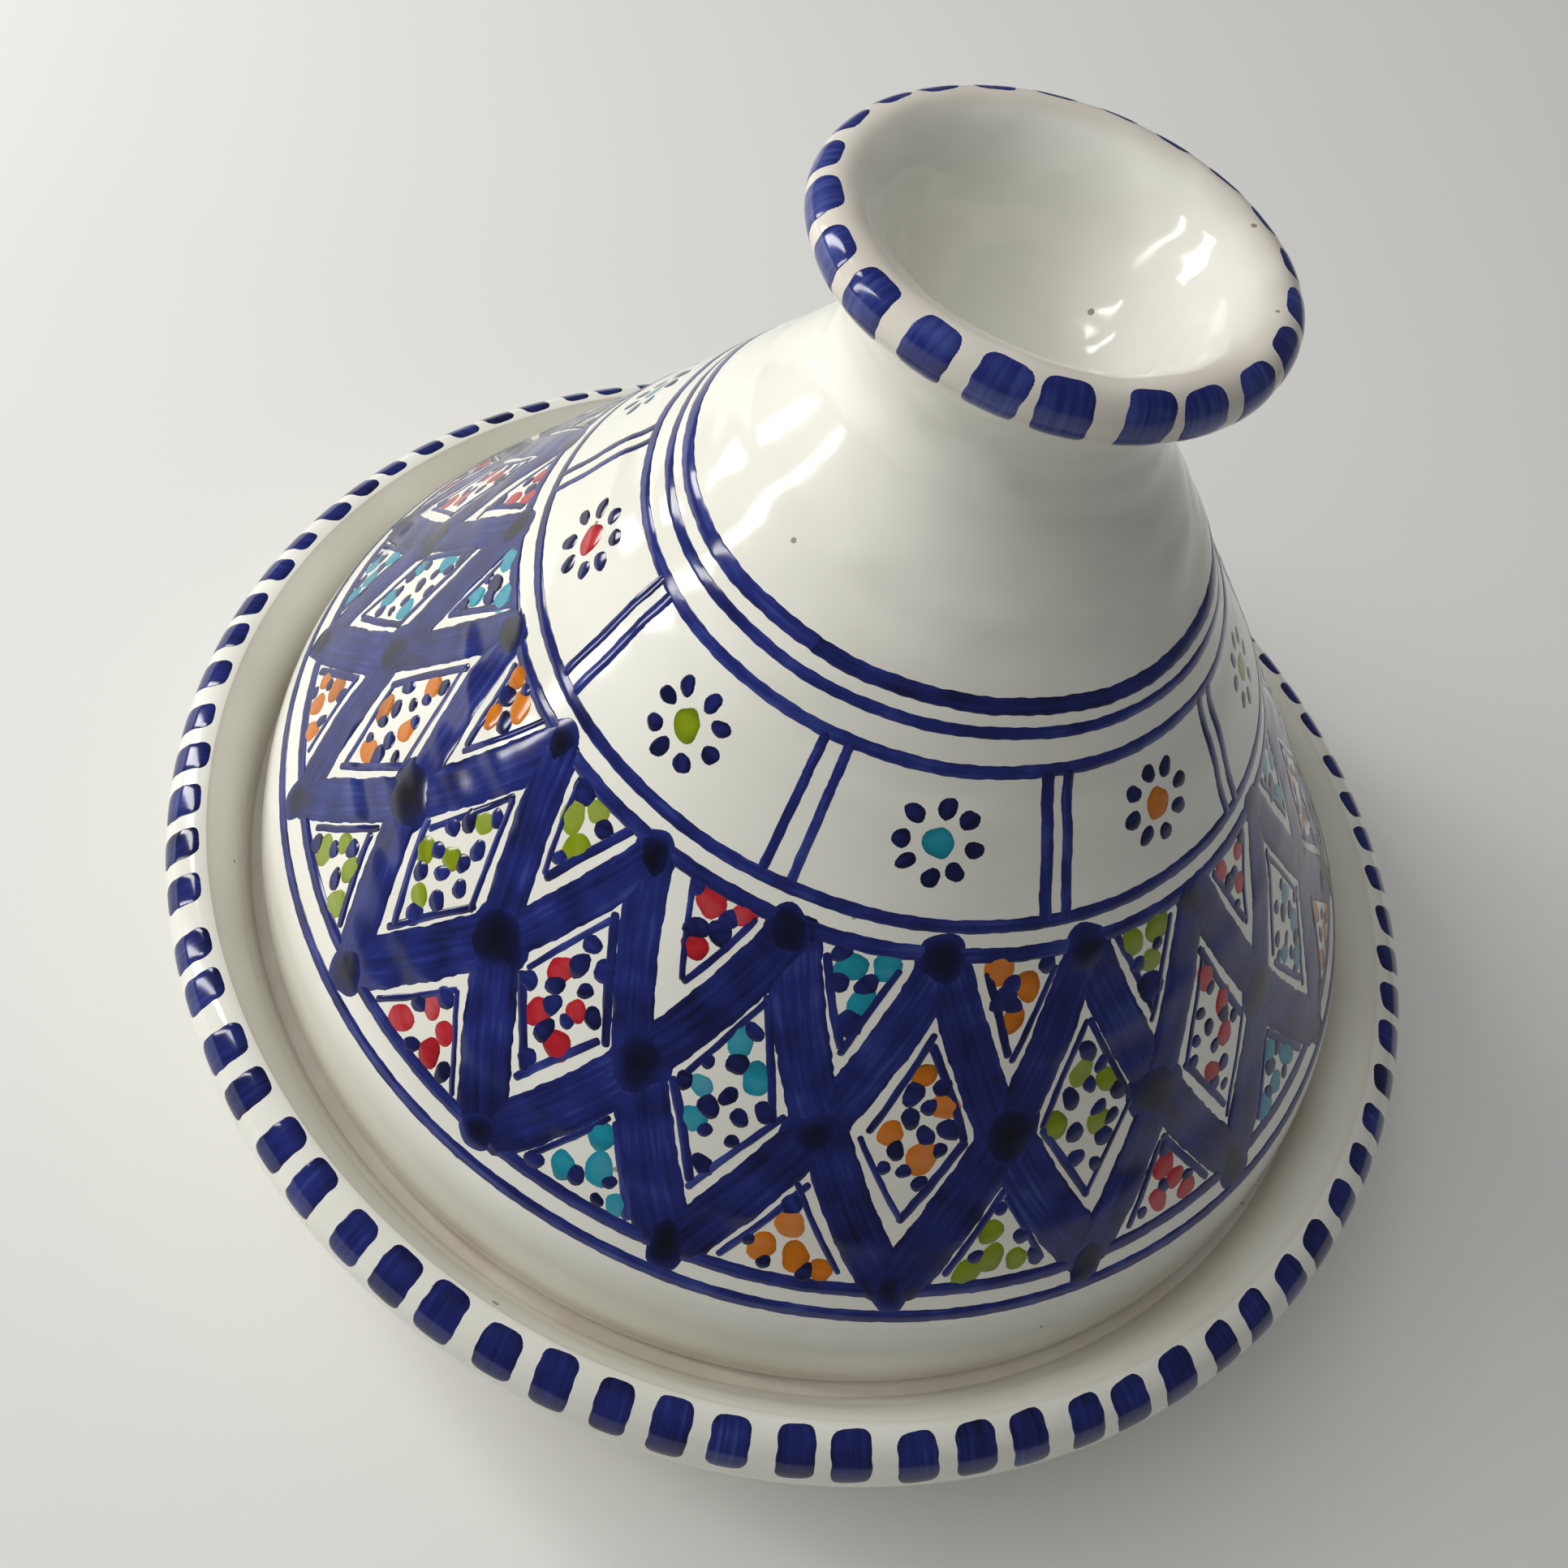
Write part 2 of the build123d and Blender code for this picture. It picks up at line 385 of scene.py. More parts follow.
def brushed(name, turned, theta, s, width, *, lift, seed, cap=0.5, blunt=2.6, tip=5, steps=8, across=7,
            columns=4, ragged=0.05, load=0.5, spread=0.12, pool=0.25, start=0.2):
    """Brush strokes. Each row of theta and s is a stroke's middle line. Its half width falls at both ends as
    (1 - (1 - d)^blunt)^(1/blunt), with d the share of the cap gone, and its height over the glaze is
    lift less the eighth power of the place across, so its edges lie under the glaze. A flat underside
    closes it. ink grows at the edges, at the start and with each stroke's own load."""
    rng = np.random.default_rng(seed)
    count = len(theta)
    width = np.broadcast_to(np.asarray(width, float).reshape(-1, 1), (count, 1))
    run = np.hypot(np.diff(theta, axis=1) * turned.radius(s[:, 1:]), np.diff(s, axis=1)).sum(1)[:, None]
    cap_share = np.minimum(cap * width / run, 0.45)
    turn = 1 - np.cos(np.linspace(0, math.pi / 2, tip))
    middle = cap_share + (1 - 2 * cap_share) * np.linspace(0, 1, steps + 1)[1:-1]
    share = np.concatenate([cap_share * turn, middle, 1 - (cap_share * turn)[:, ::-1]], 1)
    th, ss = read_along(theta, share), read_along(s, share)
    rad = turned.radius(ss)
    gone = share * run
    tx, ty = np.gradient(th, axis=1) * rad, np.gradient(ss, axis=1)
    norm = np.hypot(tx, ty)
    tx, ty = tx / norm, ty / norm
    near = np.clip(np.minimum(share, 1 - share) / cap_share, 0, 1)
    half = np.maximum((1 - (1 - near) ** blunt) ** (1 / blunt), TIP_SHARE) * width / 2
    left = half * (1 + ragged * waver(rng, count, gone, RAGGED_PITCHES))
    right = half * (1 + ragged * waver(rng, count, gone, RAGGED_PITCHES))
    even = np.linspace(-1, 1, across)
    # Places across the stroke: its top, closer together at both edges, and then back under it
    top = np.sign(even) * (1 - (1 - abs(even)) ** 2)
    v = np.r_[top, 0.7, 0.0, -0.7]
    loop = len(v)
    shift = np.where(v < 0, left[..., None], right[..., None]) * v
    own_lift = lift * (1 + rng.uniform(-0.12, 0.12, (count, 1)))
    crown = (own_lift + SINK) * (1 - (1 - near) ** 4)
    up = crown[..., None] * (1 - v**8) - SINK
    up[..., across:] = -DEEP
    points = turned.place(
        th[..., None] - ty[..., None] * shift / rad[..., None], ss[..., None] + tx[..., None] * shift, up
    )
    rows = share.shape[1]
    base = np.arange(count)[:, None, None] * rows * loop
    k = np.arange(rows - 1)[None, :, None] * loop
    j = np.arange(loop)[None, None, :]
    j2 = (j + 1) % loop
    quads = np.stack([base + k + j, base + k + loop + j, base + k + loop + j2, base + k + j2], -1)
    caps = base[:, :, 0] + np.arange(loop)
    far_caps = caps[:, ::-1] + (rows - 1) * loop

    # Each stroke has its own cell of the bake map: the underside in the lowest 0.12, the top from 0.16 to
    # 0.96, and both end faces in a far corner
    shelf = 0.16 + 0.8 * (top + 1) / 2
    edge_low = np.r_[shelf[:-1], 0.12, 0.09, 0.06, 0.03]
    edge_high = np.r_[shelf[1:], 0.09, 0.06, 0.03, 0.0]
    lines = math.ceil(count / columns)
    order = np.arange(count)[:, None, None]
    u = ((order % columns) + 0.03 + 0.94 * share[:, :, None]) / columns
    u_near, u_far = u[:, :-1], u[:, 1:]
    v_low, v_high = (order // columns + edge_low) / lines, (order // columns + edge_high) / lines
    atlas = [(u_near, v_low), (u_far, v_low), (u_far, v_high), (u_near, v_high)]
    atlas = np.stack([np.stack(np.broadcast_arrays(a, b), -1) for a, b in atlas], -2)
    spot = rng.uniform(0, 1, (2, count, 1, 1))
    along, side = gone[..., None] + spot[0], shift + spot[1]
    side2 = side[..., np.r_[1:loop, 0]]
    grain = [(along[:, :-1], side[:, :-1]), (along[:, 1:], side[:, 1:]),
             (along[:, 1:], side2[:, 1:]), (along[:, :-1], side2[:, :-1])]
    grain = np.stack([np.stack(np.broadcast_arrays(a, b), -1) for a, b in grain], -2)
    round_loop = np.arange(loop) * TURN / loop
    tiny = np.stack([np.cos(round_loop), np.sin(round_loop)], -1) * 0.01
    home = np.stack([(order[:, 0] % columns + 0.015) / columns, (order[:, 0] // columns + 0.985) / lines], -1)
    cap_uv = home + tiny[None] / [columns, lines]
    groups = [
        (quads.reshape(-1, 4), {"OFBake": atlas.reshape(-1, 4, 2), "Brush": grain.reshape(-1, 4, 2)}),
        (caps, {"OFBake": cap_uv, "Brush": np.zeros_like(cap_uv)}),
        (far_caps, {"OFBake": cap_uv[:, ::-1], "Brush": np.zeros_like(cap_uv)}),
    ]
    ink = load + rng.uniform(-spread, spread, (count, 1)) + start * (1 - share) ** 3 + pool * (1 - near)
    ink = ink + 0.1 * waver(rng, count, gone, LOAD_PITCHES)
    ink = ink[..., None] + pool * abs(v) ** 8
    return build_mesh(name, points.reshape(-1, 3), groups, ink=np.clip(ink, 0, 1))


def blobs(name, turned, theta, s, wide, tall, lean, *, lift, seed, segments=14, rings=(0.5, 0.84, 1.0),
          uneven=0.09, load=0.5, spread=0.15, pool=0.35, fade=3.0):
    """Dots of paint. Each is an oval whose outline swells by three sines of the angle, with rings of points
    from its middle to its edge. Its height over the glaze is lift less the fourth power of the distance from
    the middle, and one flat face closes it underneath."""
    rng = np.random.default_rng(seed)
    count = len(theta)
    phi = np.arange(segments) * TURN / segments
    edge = 1.0
    for waves in (2, 3, 5):
        edge = edge + uneven / waves * 1.6 * np.sin(waves * phi + rng.uniform(0, TURN, (count, 1)))
    rings = np.array(rings)
    x = wide[:, None] / 2 * edge * np.cos(phi)
    y = tall[:, None] / 2 * edge * np.sin(phi)
    c, d = np.cos(lean)[:, None], np.sin(lean)[:, None]
    x, y = x * c - y * d, x * d + y * c
    far = np.r_[0, rings]
    own_lift = lift * (1 + rng.uniform(-0.15, 0.15, count))
    up = (own_lift + SINK)[:, None] * (1 - far**4) - SINK
    rad = turned.radius(s)[:, None, None]
    th = theta[:, None, None] + rings[:, None] * x[:, None, :] / rad
    ss = s[:, None, None] + rings[:, None] * y[:, None, :]
    outer = turned.place(th, ss, up[:, 1:, None]).reshape(count, -1, 3)
    middle = turned.place(theta, s, up[:, 0])[:, None, :]
    points = np.concatenate([middle, outer], 1)
    each = points.shape[1]
    base = np.arange(count)[:, None] * each
    j = np.arange(segments)
    nxt = (j + 1) % segments
    fan = np.stack([base + 0 * j, base + 1 + j, base + 1 + nxt], -1)
    # Each dot has its own cell of the bake map: the top is a disc, and the underside a small one in a corner
    grid = math.ceil(math.sqrt(count))
    home = np.stack([np.arange(count) % grid + 0.5, np.arange(count) // grid + 0.5], -1)
    disc = np.stack([np.cos(phi), np.sin(phi)], -1) * 0.44

    def cell(corners):
        return (home[:, None, None, :] + corners) / grid

    groups = [
        (fan.reshape(-1, 3),
         cell(np.stack([disc * 0, disc * rings[0], disc[nxt] * rings[0]], -2)[None]).reshape(-1, 3, 2)),
    ]
    for i in range(len(rings) - 1):
        a, b = 1 + i * segments, 1 + (i + 1) * segments
        band = np.stack([base + a + j, base + b + j, base + b + nxt, base + a + nxt], -1)
        corners = [disc * rings[i], disc * rings[i + 1], disc[nxt] * rings[i + 1], disc[nxt] * rings[i]]
        groups.append((band.reshape(-1, 4), cell(np.stack(corners, -2)[None]).reshape(-1, 4, 2)))
    under = base + 1 + (len(rings) - 1) * segments + j[::-1]
    corner = disc[::-1] * 0.05 + np.array([0.46, 0.46])
    groups.append((under, ((home[:, None, :] + corner) / grid)))
    groups = [(faces, {"OFBake": uv, "Brush": uv * grid * 4 * MM}) for faces, uv in groups]
    ink = load + rng.uniform(-spread, spread, count)[:, None] + pool * far**fade
    ink = np.concatenate([ink[:, :1], np.repeat(ink[:, 1:], segments, axis=1)], 1)
    return build_mesh(name, points.reshape(-1, 3), groups, ink=np.clip(ink, 0, 1))


# ---------------------------------------------------------------- finishes


def feed(tree, node, inputs):
    """Links a node's inputs to the sockets given, or sets them to the plain values given."""
    for key, value in inputs.items():
        if isinstance(value, bpy.types.NodeSocket):
            tree.links.new(value, node.inputs[key])
        else:
            node.inputs[key].default_value = value


def add(tree, kind, inputs=None, out=None, **settings):
    """Adds a node with its settings and inputs. Returns the output asked for, or else the node."""
    node = tree.nodes.new(kind)
    for key, value in settings.items():
        setattr(node, key, value)
    feed(tree, node, inputs or {})
    return node if out is None else node.outputs[out]


def new_finish(name):
    """An empty material with its shader and output."""
    material = bpy.data.materials.new(name)
    material.use_nodes = True
    tree = material.node_tree
    tree.nodes.clear()
    shader = add(tree, "ShaderNodeBsdfPrincipled")
    add(tree, "ShaderNodeOutputMaterial", {"Surface": shader.outputs["BSDF"]})
    return material, tree, shader


def solid(tint, share=1.0):
    """A colour as a node takes it, or a darker one."""
    return (*(c * share for c in tint), 1)


# How strongly the glassy glazes bend light
GLAZE_IOR = 1.52

# The sockets of a Mix node that hold its two colours and its result
FIRST, SECOND, BLEND = 6, 7, 2


def tin_glaze(name, colours):
    """Opaque tin glaze, dipped and fired on red clay: a hard even gloss, slightly grey and warm clouds about
    40 mm wide, clay pink where it is thin, the same pink as painted shade in the dish's gutter beside the lid
    and on its crease line, and pinholes and iron specks under a millimetre wide."""
    material, tree, shader = new_finish(name)
    place = add(tree, "ShaderNodeTexCoord", out="Object")
    clouds = add(tree, "ShaderNodeTexNoise", {"Vector": place, "Scale": 25.0, "Detail": 3.0}, "Fac")
    grey = add(tree, "ShaderNodeMapRange", {"Value": clouds, "From Min": 0.35, "From Max": 0.7}, "Result")
    base = {"Factor": grey, FIRST: solid(colours.white), SECOND: solid(colours.white_shade)}
    base = add(tree, "ShaderNodeMix", base, BLEND, data_type="RGBA")

    # The thin map tints towards clay pink; on the dish's gutter and crease line that pink is painted shade.
    thin = add(tree, "ShaderNodeAttribute", out="Fac", attribute_name="thin")
    patch = add(tree, "ShaderNodeTexNoise", {"Vector": place, "Scale": 90.0, "Detail": 4.0}, "Fac")
    patch = {"Value": patch, "From Min": 0.3, "From Max": 0.75, "To Min": 0.45}
    patch = add(tree, "ShaderNodeMapRange", patch, "Result")
    bare = add(tree, "ShaderNodeMath", {0: thin, 1: patch}, 0, operation="MULTIPLY")
    base = {"Factor": bare, FIRST: base, SECOND: solid(colours.blush_and_shade)}
    base = add(tree, "ShaderNodeMix", base, BLEND, data_type="RGBA")

    grit = add(tree, "ShaderNodeTexVoronoi", {"Vector": place, "Scale": 110.0, "Randomness": 1.0})
    chosen = add(tree, "ShaderNodeSeparateColor", {"Color": grit.outputs["Color"]}, "Red")
    rare = add(tree, "ShaderNodeMapRange", {"Value": chosen, "From Min": 0.72, "From Max": 0.76}, "Result")
    size = {"Value": chosen, "From Min": 0.8, "From Max": 1.0, "To Min": 0.03, "To Max": 0.085}
    size = add(tree, "ShaderNodeMapRange", size, "Result")
    near = add(tree, "ShaderNodeMath", {0: grit.outputs["Distance"], 1: size}, 0, operation="LESS_THAN")
    speck = add(tree, "ShaderNodeMath", {0: near, 1: rare}, 0, operation="MULTIPLY")
    faint = add(tree, "ShaderNodeMath", {0: speck, 1: 0.7}, 0, operation="MULTIPLY")
    base = {"Factor": faint, FIRST: base, SECOND: solid(colours.speck)}
    base = add(tree, "ShaderNodeMix", base, BLEND, data_type="RGBA")

    smear = add(tree, "ShaderNodeTexNoise", {"Vector": place, "Scale": 60.0, "Detail": 2.0}, "Fac")
    smear = {"Value": smear, "From Min": 0.3, "From Max": 0.7, "To Min": 0.07, "To Max": 0.16}
    smear = add(tree, "ShaderNodeMapRange", smear, "Result")
    peel = add(tree, "ShaderNodeTexNoise", {"Vector": place, "Scale": 220.0, "Detail": 1.0}, "Fac")
    dent = add(tree, "ShaderNodeMath", {0: speck, 1: -0.6}, 0, operation="MULTIPLY")
    height = add(tree, "ShaderNodeMath", {0: peel, 1: dent}, 0, operation="ADD")
    relief = {"Height": height, "Strength": 0.25, "Distance": 0.15 * MM}
    relief = add(tree, "ShaderNodeBump", relief, "Normal")
    feed(tree, shader, {"Base Color": base, "Roughness": smear, "IOR": GLAZE_IOR, "Normal": relief})
    return material


def bare_clay(name, colours):
    """Unglazed earthenware where the kiln shelf stood: dry, buff red and finely gritty."""
    material, tree, shader = new_finish(name)
    place = add(tree, "ShaderNodeTexCoord", out="Object")
    grit = add(tree, "ShaderNodeTexNoise", {"Vector": place, "Scale": 700.0, "Detail": 3.0}, "Fac")
    share = add(tree, "ShaderNodeMapRange", {"Value": grit, "From Min": 0.3, "From Max": 0.7}, "Result")
    tone = {"Factor": share, FIRST: solid(colours.clay, 0.8), SECOND: solid(colours.clay)}
    tone = add(tree, "ShaderNodeMix", tone, BLEND, data_type="RGBA")
    relief = add(tree, "ShaderNodeBump", {"Height": grit, "Strength": 0.5, "Distance": 0.2 * MM}, "Normal")
    feed(tree, shader, {"Base Color": tone, "Roughness": 0.9, "Normal": relief})
    return material


def cobalt_brushwork(name, thin, usual, thick, streaks=0.24):
    """Cobalt pigment under a clear gloss, laid with a wet brush: bristle streaks a millimetre wide along
    each stroke, paler where the load was thin and darker where it pooled."""
    material, tree, shader = new_finish(name)
    tone = add(tree, "ShaderNodeAttribute", out="Fac", attribute_name="ink")
    brush = add(tree, "ShaderNodeUVMap", out="UV", uv_map="Brush")
    brush = add(tree, "ShaderNodeMapping", {"Vector": brush, "Scale": (60.0, 900.0, 1.0)}, "Vector")
    place = add(tree, "ShaderNodeTexCoord", out="Object")
    for where, scale, low, high, depth in (
        (brush, 1.0, 0.25, 0.75, streaks),
        (place, 140.0, 0.3, 0.7, 0.16),
    ):
        part = add(tree, "ShaderNodeTexNoise", {"Vector": where, "Scale": scale, "Detail": 2.0}, "Fac")
        part = {"Value": part, "From Min": low, "From Max": high, "To Min": -depth, "To Max": depth}
        part = add(tree, "ShaderNodeMapRange", part, "Result")
        tone = add(tree, "ShaderNodeMath", {0: tone, 1: part}, 0, operation="ADD")
    ramp = add(tree, "ShaderNodeValToRGB", {"Fac": tone})
    bands = ramp.color_ramp
    bands.elements[0].position, bands.elements[0].color = 0.0, solid(thin)
    bands.elements[1].position, bands.elements[1].color = 1.0, solid(thick)
    bands.elements.new(0.48).color = solid(usual)
    feed(tree, shader, {"Base Color": ramp.outputs["Color"], "Roughness": 0.12, "IOR": GLAZE_IOR})
    return material


def enamel(name, tint):
    """Coloured enamel dabbed on in drops: glossy, clear in the middle and darker at the rim."""
    deep = tuple(c * 0.35 for c in tint)
    pale = tuple(c + (1 - c) * 0.08 for c in tint)
    return cobalt_brushwork(name, pale, tuple(tint), deep, streaks=0.12)


def floor_paper(name):
    """Matt seamless studio paper: nearly white, without a pattern that the eye can find."""
    material, tree, shader = new_finish(name)
    place = add(tree, "ShaderNodeTexCoord", out="Object")
    tooth = add(tree, "ShaderNodeTexNoise", {"Vector": place, "Scale": 6.0, "Detail": 2.0}, "Fac")
    tone = {"Factor": tooth, FIRST: solid(paint("#f4f4f2")), SECOND: solid(paint("#f1f1ee"))}
    tone = add(tree, "ShaderNodeMix", tone, BLEND, data_type="RGBA")
    feed(tree, shader, {"Base Color": tone, "Roughness": 0.9, "Specular IOR Level": 0.1})
    return material


# ---------------------------------------------------------------- the pot

# How far each section's corners are softened, in millimetres, and the seed of its ridges
SECTIONS = {"dish": (0.6, 11), "lid_cone": (0.9, 23), "lid_knob": (0.8, 37)}

# The turned surfaces and the materials made so far
pot = {}


def section_of(node):
    """The turned surface of a node, read once."""
    if node not in pot:
        blur, seed = SECTIONS[node]
        pot[node] = Turned(node, blur * MM, seed)
    return pot[node]


def finish_of(key, make):
    """A material that several pieces share, made once."""
    if key not in pot:
        pot[key] = make()
    return pot[key]


def white():
    colours = bpy.context.scene.glaze_colours
    return finish_of("glaze", lambda: tin_glaze("tin_glaze", colours))


def blue():
    c = bpy.context.scene.glaze_colours
    return finish_of(
        "cobalt", lambda: cobalt_brushwork("cobalt_brushwork", c.blue_thin, c.blue, c.blue_thick)
    )


def drops(pigment):
    tint = getattr(bpy.context.scene.glaze_colours, pigment)
    return finish_of(pigment, lambda: enamel(f"{pigment}_enamel", tint))


class TAGINE_OT_dish(Operator):
    """Glaze the dish: shallow bowl, seat for the lid and rolled lip"""

    bl_idname = "tagine.dish"
    bl_label = "Dish"

    def execute(self, context):
        sizes, colours = context.scene.brush_sizes, context.scene.glaze_colours
        dish = section_of("dish")
        crease_shade_line, seat_side = dish.s_top + 0.4 * MM, dish.s_top + 14 * MM
        wall, lip = 100 * MM, dish.s_top
        dish.ridge(
            sizes.ring_height * 0.35, lambda s: rise(s, wall, 20 * MM) * (1 - rise(s, lip, 6 * MM))
        )

        # On the dish the gutter beside the lid's edge takes clay pink that is partly painted shade from the
        # lid, the line at the crease is painted crease shade, and the outer wall is tinted pink towards the
        # bottom.
        def thin(s):
            gutter_blush_and_shade = rise(s, seat_side, 3 * MM) * (1 - rise(s, seat_side + 22 * MM, 6 * MM))
            under = 1 - rise(s, dish.s_out - 16 * MM, 10 * MM)
            edge = np.exp(-(((s - crease_shade_line) / (0.45 * MM)) ** 2))
            return 0.45 * gutter_blush_and_shade + 0.3 * under + 0.5 * edge

        ob = shell("dish_glaze", dish, thin, sectors=480, count=200, bend_share=12)
        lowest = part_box("dish")[0].z
        heights = np.zeros(len(ob.data.polygons) * 3)
        ob.data.polygons.foreach_get("center", heights)
        bare = heights.reshape(-1, 3)[:, 2] < lowest + 0.6 * MM
        ob.data.polygons.foreach_set("material_index", bare.astype(int))
        finish_piece(ob, "dish", "dish_glaze", white(), bare_clay("bare_clay", colours))
        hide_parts("dish")
        return {"FINISHED"}


class TAGINE_OT_lid(Operator):
    """Glaze the lid: the cone, and the cupped knob on it"""

    bl_idname = "tagine.lid"
    bl_label = "Lid"

    def execute(self, context):
        sizes = context.scene.brush_sizes
        cone = section_of("lid_cone")
        base, joint = cone.s_out, cone.s_top
        neck = cone.at_height(128 * MM)
        cone.ridge(
            sizes.ring_height,
            lambda s: rise(s, base + 8 * MM, 10 * MM) * (1 - rise(s, joint - 9 * MM, 8 * MM))
            * (0.5 + 0.5 * rise(s, neck, 12 * MM))
            + (1 - rise(s, base - 30 * MM, 15 * MM)) * rise(s, 40 * MM, 20 * MM),
        )

        def cone_thin(s):
            return 0.7 * np.exp(-(((s - base - 1.0 * MM) / (1.6 * MM)) ** 2))

        ob = shell("lid_cone_glaze", cone, cone_thin, sectors=430, count=226, bend_share=6)
        finish_piece(ob, "lid", "lid_glaze", white())
        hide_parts("lid_cone")

        knob = section_of("lid_knob")
        out, top = knob.s_out, knob.s_top
        foot = knob.s[len(knob.runs[0])]
        knob.ridge(
            sizes.ring_height * 0.8,
            lambda s: rise(s, foot + 3 * MM, 8 * MM) * (1 - rise(s, knob.total - 14 * MM, 10 * MM)),
        )

        def knob_thin(s):
            roll = rise(s, out - 9 * MM, 4 * MM) * (1 - rise(s, top + 1 * MM, 4 * MM))
            return 0.38 * roll

        ob = shell("lid_knob_glaze", knob, knob_thin, sectors=360, count=260, bend_share=14)
        finish_piece(ob, "lid", "knob_glaze", white())
        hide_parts("lid_knob")
        return {"FINISHED"}


def across_lip(name, turned, rng, count, width, *, first, slack, drift, stray, upper, lower, narrow, **look):
    """Brush strokes across a rolled lip. first is where the first one is and slack what each may be off, as
    shares of the room a stroke has. drift is a lean that comes and goes round the lip, and stray each
    stroke's own. upper and lower are its ends' angles on the roll, with what they may be off. All angles
    are in degrees. narrow is the narrowest stroke's share of the width."""
    middle = (np.arange(count) + first + rng.uniform(-slack, slack, count)) * TURN / count
    lean = np.radians(drift) + np.radians(drift) * np.sin(middle + 0.9)
    lean = lean + np.radians(rng.uniform(-stray, stray, count))
    start, stop = (np.radians(angle + rng.uniform(-off, off, count)) for angle, off in (upper, lower))
    across = np.linspace(0, 1, 5)
    theta = middle[:, None] + lean[:, None] * (across - 0.5)
    s = turned.round_lip(start[:, None] + (stop - start)[:, None] * across)
    width = width * rng.uniform(narrow, 1.08, count)
    return brushed(name, turned, theta, s, width, lift=0.1 * MM, cap=0.42, **look)


class TAGINE_OT_lip_strokes(Operator):
    """Paint the blue strokes across the dish's lip and the knob's lip"""

    bl_idname = "tagine.lip_strokes"
    bl_label = "Lip strokes"

    def execute(self, context):
        sizes = context.scene.brush_sizes
        rng = np.random.default_rng(5)
        ob = across_lip("dish_lip_strokes", section_of("dish"), rng, sizes.lip_strokes,
                        sizes.lip_stroke_width, first=0, slack=0.09, drift=0.5, stray=0.35, upper=(85, 4),
                        lower=(4, 4), narrow=0.9, seed=51, blunt=2.8, tip=9, steps=14, columns=9,
                        load=0.62, spread=0.1, pool=0.3, start=-0.1)
        finish_piece(ob, "dish", "dish_glaze", blue())
        ob = across_lip("knob_lip_strokes", section_of("lid_knob"), rng, sizes.knob_strokes,
                        sizes.knob_stroke_width, first=0.68, slack=0.07, drift=0, stray=2.5, upper=(84, 8),
                        lower=(-52, 5), narrow=0.88, seed=52, blunt=2.6, tip=10, steps=16, columns=5,
                        load=0.36, spread=0.1, pool=0.35, start=-0.12)
        finish_piece(ob, "lid", "knob_glaze", blue())
        return {"FINISHED"}


# Heights of the painted lines over the table and their widths, in millimetres, and the heights of the
# lattice's knots and of the flowers
LOW_LINES = ((59.4, 2.7), (64.2, 3.0))
MIDDLE_LINES = ((114.9, 3.3), (119.6, 2.9))
UPPER_LINES = ((141.7, 2.8), (146.5, 2.5), (150.4, 3.5))
KNOT_HEIGHT = 87.1
FLOWER_HEIGHT = 131.0

# The lid's radius about the lattice's middle, in metres
LATTICE_RADIUS = 0.1


class TAGINE_OT_bands(Operator):
    """Paint the seven lines round the lid"""

    bl_idname = "tagine.bands"
    bl_label = "Band lines"

    def execute(self, context):
        cone = section_of("lid_cone")
        rng = np.random.default_rng(8)
        lines = (*LOW_LINES, *MIDDLE_LINES, *UPPER_LINES)
        count = len(lines)
        height, width = np.array(lines).T * MM
        begin = np.radians(np.array([20, 75, 110, 160, 60, 130, -101]))
        share = np.linspace(0, 1, 241)
        theta = begin[:, None] + share * (TURN + np.radians(4))
        s = cone.at_height(height)[:, None] + 0 * share
        for waves, size in ((1, 0.28), (2, 0.22), (3, 0.15), (7, 0.08), (13, 0.06)):
            s = s + size * MM * np.sin(waves * theta + rng.uniform(0, TURN, (count, 1)))
        s = s + rng.uniform(-0.3, 0.3, (count, 1)) * MM * share
        ob = brushed("band_lines", cone, theta, s, width, lift=0.07 * MM, seed=81, cap=0.9, steps=520,
                     across=5, columns=1, ragged=0.1, load=0.5, spread=0.08, pool=0.2, start=0.3)
        finish_piece(ob, "lid", "lid_glaze", blue())
        return {"FINISHED"}


